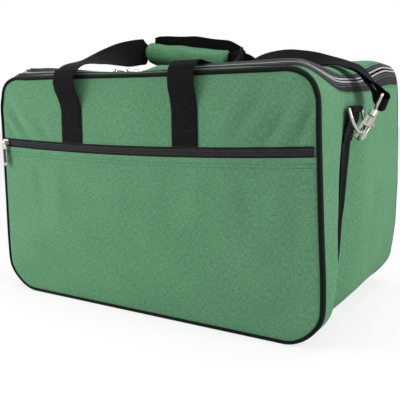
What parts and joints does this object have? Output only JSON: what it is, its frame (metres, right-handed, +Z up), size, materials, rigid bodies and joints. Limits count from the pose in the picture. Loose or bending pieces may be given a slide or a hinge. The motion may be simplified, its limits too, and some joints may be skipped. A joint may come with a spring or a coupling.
{
  "type": "board game bag",
  "caption": "Boxy padded canvas bag with piped edges, a zipped lid and front pocket, webbing handles held by a padded wrap, and a shoulder strap on snap hooks and side rings.",
  "frame": {"origin": "centre of the flat bottom the bag stands on", "axes": "+X to the right seen from the front, -Y towards the front with the pocket, +Z up"},
  "size_m": [0.6016, 0.3248, 0.3993],
  "materials": {
    "canvas": "matt coated canvas in muted green",
    "foam": "closed-cell padding, hidden",
    "lining": "plain black lining",
    "board": "stiff black sheet",
    "piping": "dark sleeve",
    "webbing": "black ribbed webbing",
    "hook_and_loop": "black hook-and-loop",
    "zip_tape": "black zip tape",
    "zip_coil": "dark grey zip teeth",
    "nickel": "polished nickel",
    "spring_steel": "bright spring wire",
    "pull_insert": "black rubber",
    "adjuster": "black plastic"
  },
  "bodies": {
    "bag": {"front_panel": "canvas", "front_foam": "foam", "front_lining": "lining", "front_piping": "piping", "rear_panel": "canvas", "rear_foam": "foam", "rear_lining": "lining", "rear_piping": "piping", "gusset": "canvas", "gusset_foam": "foam", "gusset_lining": "lining", "base_board": "board", "pocket_panel": "canvas", "pocket_zip_tapes": "zip_tape", "pocket_zip_coils": "zip_coil", "main_zip_tape_lower": "zip_tape", "main_zip_coil_lower": "zip_coil", "front_handle_anchors": "webbing", "rear_handle_anchors": "webbing", "anchor_web_right": "webbing", "anchor_web_left": "webbing", "strap_end_right": "webbing", "strap_end_left": "webbing"},
    "lid": {"lid_panel": "canvas", "lid_foam": "foam", "lid_lining": "lining", "main_zip_tape_upper": "zip_tape", "main_zip_coil_upper": "zip_coil", "shoulder_strap": "webbing", "strap_adjuster": "adjuster"},
    "front_legs": {"front_handle_legs": "webbing"},
    "front_grip": {"front_handle_grip": "webbing"},
    "rear_legs": {"rear_handle_legs": "webbing"},
    "rear_grip": {"rear_handle_grip": "webbing", "handle_wrap": "canvas"},
    "flap": {"wrap_flap": "hook_and_loop"},
    "slider_left": {"main_slider_left": "nickel"},
    "slider_right": {"main_slider_right": "nickel"},
    "pull_left": {"main_pull_left": "nickel", "main_pull_left_insert": "pull_insert"},
    "pull_right": {"main_pull_right": "nickel", "main_pull_right_insert": "pull_insert"},
    "slider_pocket": {"pocket_slider": "nickel"},
    "pull_pocket": {"pocket_pull": "nickel", "pocket_pull_insert": "pull_insert"},
    "ring_right": {"d_ring_right": "nickel", "hook_eye_right": "nickel"},
    "ring_left": {"d_ring_left": "nickel", "hook_eye_left": "nickel"},
    "hook_right": {"snap_hook_right": "nickel", "bolt_spring_right": "spring_steel"},
    "hook_left": {"snap_hook_left": "nickel", "bolt_spring_left": "spring_steel"},
    "bolt_right": {"hook_bolt_right": "nickel"},
    "bolt_left": {"hook_bolt_left": "nickel"}
  },
  "joints": [
    {"name": "lid_open", "type": "hinge", "parent": "bag", "child": "lid", "pos_m": [0, 0.15105, 0.332], "axis": [-1, 0, 0], "range_deg": [0, 110], "deforming": ["front_handle_grip", "strap_end_right", "strap_end_left"]},
    {"name": "front_legs_fold", "type": "hinge", "parent": "bag", "child": "front_legs", "pos_m": [0, -0.1579, 0.297], "axis": [1, 0, 0], "range_deg": [0, 170]},
    {"name": "front_grip_fold", "type": "hinge", "parent": "front_legs", "child": "front_grip", "pos_m": [0, -0.1586, 0.33845], "axis": [1, 0, 0], "range_deg": [0, 75]},
    {"name": "rear_legs_fold", "type": "hinge", "parent": "bag", "child": "rear_legs", "pos_m": [0, 0.1579, 0.297], "axis": [-1, 0, 0], "range_deg": [0, 170]},
    {"name": "rear_grip_fold", "type": "hinge", "parent": "rear_legs", "child": "rear_grip", "pos_m": [0, 0.1586, 0.33845], "axis": [-1, 0, 0], "range_deg": [0, 75]},
    {"name": "wrap_flap_open", "type": "hinge", "parent": "rear_grip", "child": "flap", "pos_m": [-0.01268, 0.0013, 0.38213], "axis": [-0.9898, 0, 0.1424], "range_deg": [0, 100]},
    {"name": "main_slider_left_slide", "type": "slide", "parent": "lid", "child": "slider_left", "axis": [-1, 0, 0], "range_m": [0, 0.15]},
    {"name": "main_slider_right_slide", "type": "slide", "parent": "lid", "child": "slider_right", "axis": [1, 0, 0], "range_m": [0, 0.21]},
    {"name": "main_pull_left_flip", "type": "hinge", "parent": "slider_left", "child": "pull_left", "pos_m": [-0.044, -0.1395, 0.338], "axis": [1, 0, 0], "range_deg": [0, 120]},
    {"name": "main_pull_right_flip", "type": "hinge", "parent": "slider_right", "child": "pull_right", "pos_m": [-0.021, -0.1395, 0.338], "axis": [0, -1, 0], "range_deg": [0, 110]},
    {"name": "pocket_slider_slide", "type": "slide", "parent": "bag", "child": "slider_pocket", "axis": [1, 0, 0], "range_m": [0, 0.505]},
    {"name": "pocket_pull_flip", "type": "hinge", "parent": "slider_pocket", "child": "pull_pocket", "pos_m": [-0.254, -0.1633, 0.237], "axis": [-1, 0, 0], "range_deg": [0, 110]},
    {"name": "ring_right_swing", "type": "hinge", "parent": "bag", "child": "ring_right", "pos_m": [0.26945, -0.06, 0.281], "axis": [0, -1, 0], "range_deg": [0, 30], "deforming": ["strap_end_right"]},
    {"name": "hook_right_swivel", "type": "hinge", "parent": "ring_right", "child": "hook_right", "pos_m": [0.27811, -0.06, 0.25176], "axis": [0.2593, 0.5984, 0.758], "range_deg": [-20, 20]},
    {"name": "bolt_right_draw", "type": "slide", "parent": "hook_right", "child": "bolt_right", "axis": [0.2593, 0.5984, 0.758], "range_m": [0, 0.0075], "stiffness_N_per_m": 300, "springref_m": -0.002, "deforming": ["bolt_spring_right"]},
    {"name": "ring_left_swing", "type": "hinge", "parent": "bag", "child": "ring_left", "pos_m": [-0.26945, 0.06, 0.281], "axis": [0, 1, 0], "range_deg": [0, 30], "deforming": ["strap_end_left"]},
    {"name": "hook_left_swivel", "type": "hinge", "parent": "ring_left", "child": "hook_left", "pos_m": [-0.27811, 0.06, 0.25176], "axis": [-0.2593, -0.5984, 0.758], "range_deg": [-20, 20]},
    {"name": "bolt_left_draw", "type": "slide", "parent": "hook_left", "child": "bolt_left", "axis": [-0.2593, -0.5984, 0.758], "range_m": [0, 0.0075], "stiffness_N_per_m": 300, "springref_m": -0.002, "deforming": ["bolt_spring_left"]}
  ],
  "couplings": [
    {"joint": "front_legs_fold", "follows": "lid_open", "ratio": 1.5454},
    {"joint": "front_grip_fold", "follows": "lid_open", "ratio": 0.6818},
    {"joint": "rear_legs_fold", "follows": "lid_open", "ratio": 1.5454},
    {"joint": "rear_grip_fold", "follows": "lid_open", "ratio": 0.6818}
  ]
}
